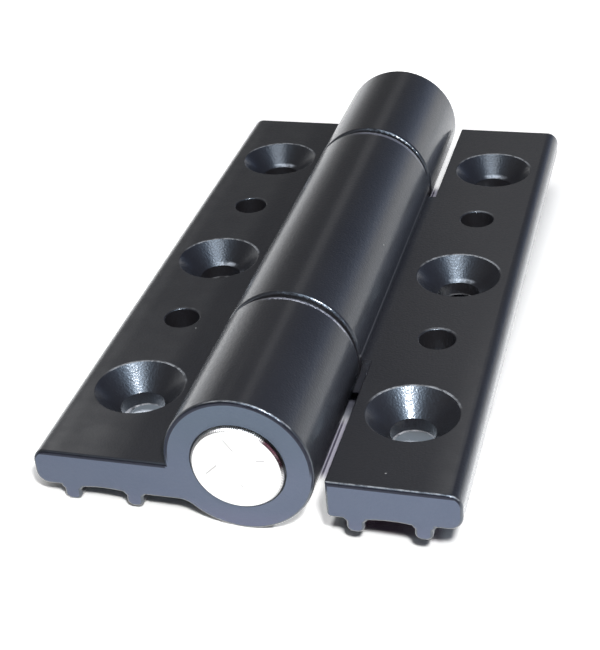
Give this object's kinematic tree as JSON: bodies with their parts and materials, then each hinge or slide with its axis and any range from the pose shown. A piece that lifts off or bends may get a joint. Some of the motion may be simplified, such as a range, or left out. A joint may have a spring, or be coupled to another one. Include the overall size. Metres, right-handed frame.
{
  "type": "folding door hinge",
  "caption": "Surface-mounted door hinge: two ribbed leaves with countersunk screw holes turn on a pinned three-knuckle barrel with plastic bushes.",
  "frame": {"origin": "middle of the underside: below the barrel axis at half the barrel's length, at the height of the barrel's lowest line", "axes": "+X across the leaves towards the leaf with the middle knuckle, +Y along the barrel away from its front end, +Z away from the door, with both leaves flat in the XY plane"},
  "size_m": [0.06, 0.1112, 0.021],
  "materials": {
    "coated_leaf": "satin black powder coat on an aluminium extrusion",
    "steel_pin": "turned steel, bright, with a knurled front end",
    "bush_plastic": "moulded black acetal"
  },
  "bodies": {
    "outer_leaf": {"leaf_outer_knuckles": "coated_leaf", "hinge_pin": "steel_pin"},
    "middle_leaf": {"leaf_middle_knuckle": "coated_leaf", "front_bush": "bush_plastic", "back_bush": "bush_plastic"}
  },
  "joints": [
    {"name": "fold", "type": "hinge", "parent": "outer_leaf", "child": "middle_leaf", "pos_m": [0, 0, 0.0105], "axis": [0, -1, 0], "range_deg": [-115, 180]}
  ]
}
